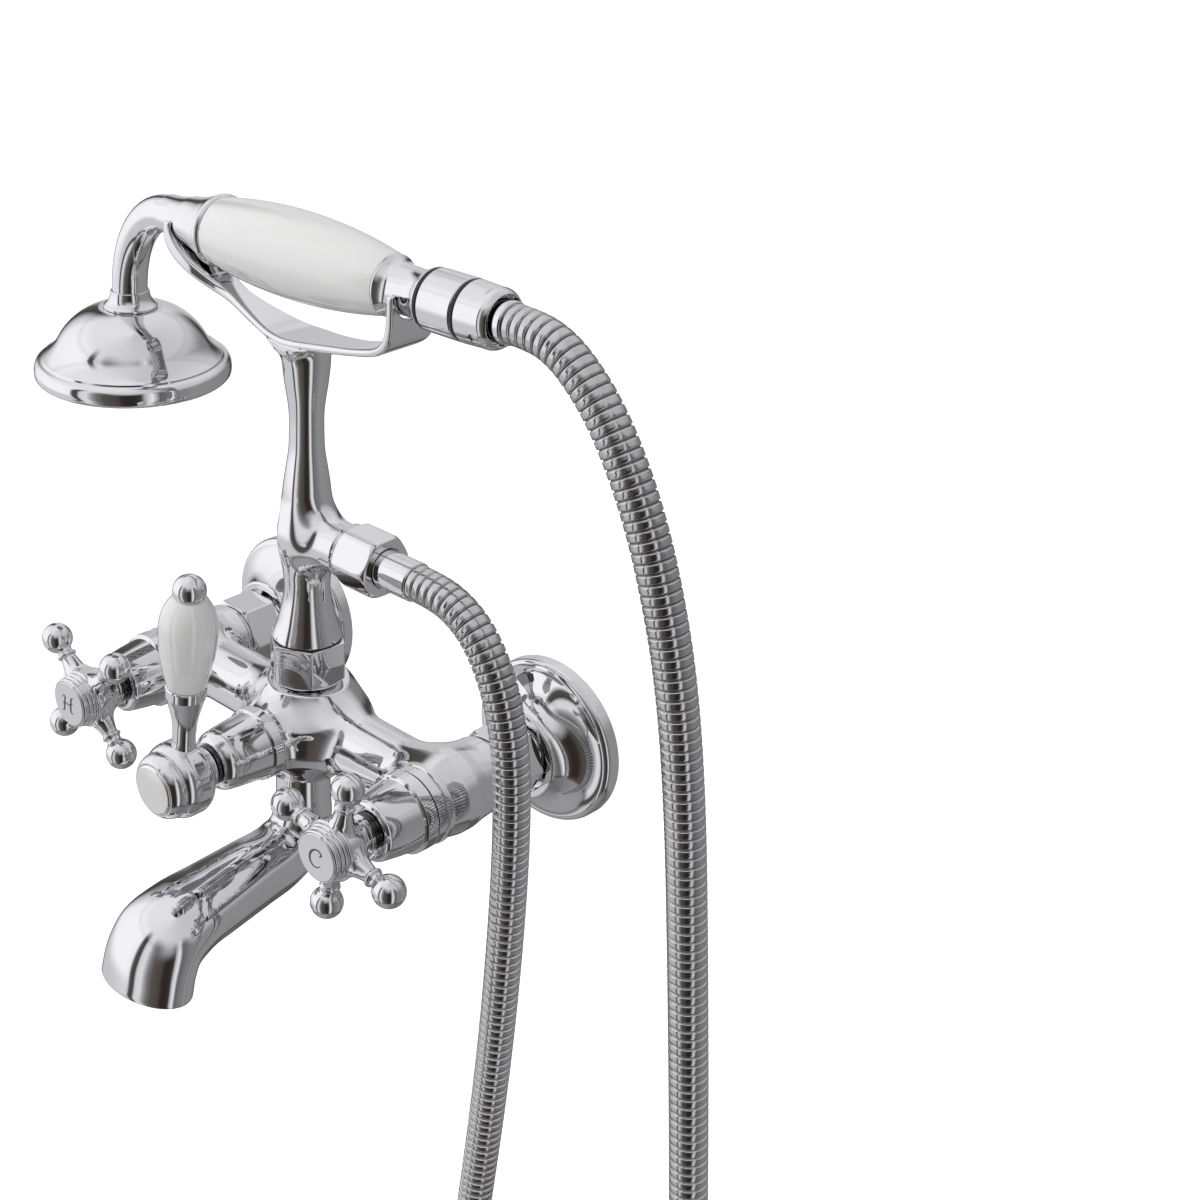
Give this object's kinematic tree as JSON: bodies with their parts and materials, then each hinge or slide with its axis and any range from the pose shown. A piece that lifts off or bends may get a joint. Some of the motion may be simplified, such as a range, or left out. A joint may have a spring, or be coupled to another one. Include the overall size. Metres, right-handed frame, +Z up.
{
  "type": "wall mounted bath mixer with hand shower",
  "caption": "Wall mounted chrome bath mixer with cross handles, diverter lever, bath spout, riser with cradle, and a porcelain-handled hand shower on a metal hose.",
  "frame": {"origin": "on the finished wall, midway between the two water inlets, at the height of their axes", "axes": "+X to the right along the wall for someone facing it, +Y into the wall along the inlet axes, +Z up"},
  "size_m": [0.3848, 0.1785, 0.7383],
  "materials": {
    "chrome": "mirror-bright chrome plate on brass",
    "porcelain": "glazed warm white porcelain",
    "black_rubber": "moulded black rubber",
    "plain_brass": "turned brass",
    "alumina": "lapped ceramic",
    "steel_screw": "turned stainless steel",
    "hose_steel": "bright interlocked metal strip",
    "white_plastic": "moulded, satin",
    "grey_plastic": "moulded, satin"
  },
  "bodies": {
    "root": {"mixer_body": "chrome", "union_washers": "black_rubber", "stem_seals": "black_rubber", "fixed_ceramic_discs": "alumina", "diverter_cartridge": "plain_brass", "diverter_bonnet": "chrome", "riser_nipple": "chrome", "riser_gasket": "black_rubber", "riser_column": "chrome", "handset_cradle": "chrome", "bath_spout": "chrome", "spout_straightener": "white_plastic", "hose_nut": "chrome", "hose_washer": "black_rubber", "hose_ferrule": "chrome", "shower_hose": "hose_steel", "hot_wall_flange": "chrome", "hot_inlet_union": "chrome", "hot_union_nut": "chrome", "hot_cartridge": "plain_brass", "hot_bonnet": "chrome", "cold_wall_flange": "chrome", "cold_inlet_union": "chrome", "cold_union_nut": "chrome", "cold_cartridge": "plain_brass", "cold_bonnet": "chrome"},
    "hot_handle": {"hot_cross_handle": "chrome", "hot_index_button": "chrome", "hot_handle_screw": "steel_screw", "hot_spindle": "plain_brass", "hot_ceramic_disc": "alumina"},
    "cold_handle": {"cold_cross_handle": "chrome", "cold_index_button": "chrome", "cold_handle_screw": "steel_screw", "cold_spindle": "plain_brass", "cold_ceramic_disc": "alumina"},
    "diverter_lever": {"lever_hub": "chrome", "lever_neck": "chrome", "lever_grip": "porcelain", "lever_cap": "chrome", "lever_screw": "steel_screw", "lever_button": "chrome", "diverter_spindle": "plain_brass", "diverter_ceramic_disc": "alumina"},
    "hand_shower": {"handset_collar": "chrome", "handset_grip": "porcelain", "handset_inner_tube": "plain_brass", "handset_end_cap": "chrome", "handset_seal_ring": "black_rubber", "check_valve_housing": "chrome", "swivel_seal_ring": "black_rubber", "handset_ferrule": "chrome", "gooseneck_tube": "chrome", "shower_head_shell": "chrome", "head_collar": "chrome", "spray_plate": "grey_plastic"},
    "hose_swivel": {"hose_swivel_nut": "chrome"}
  },
  "joints": [
    {"name": "hot_handle_turn", "type": "hinge", "parent": "root", "child": "hot_handle", "pos_m": [-0.075, -0.1167, 0], "axis": [0, -1, 0], "range_deg": [0, 90]},
    {"name": "cold_handle_turn", "type": "hinge", "parent": "root", "child": "cold_handle", "pos_m": [0.075, -0.1167, 0], "axis": [0, 1, 0], "range_deg": [0, 90]},
    {"name": "diverter_turn", "type": "hinge", "parent": "root", "child": "diverter_lever", "pos_m": [0, -0.128, 0], "axis": [0, 1, 0], "range_deg": [-50.5, 39.5]},
    {"name": "hand_shower_lift", "type": "slide", "parent": "root", "child": "hand_shower", "axis": [0, 0, 1], "range_m": [0, 0.04]},
    {"name": "hose_swivel_turn", "type": "hinge", "parent": "hand_shower", "child": "hose_swivel", "pos_m": [0.09199, -0.0635, 0.19315], "axis": [0.9999, 0, 0.0105], "continuous": true}
  ]
}
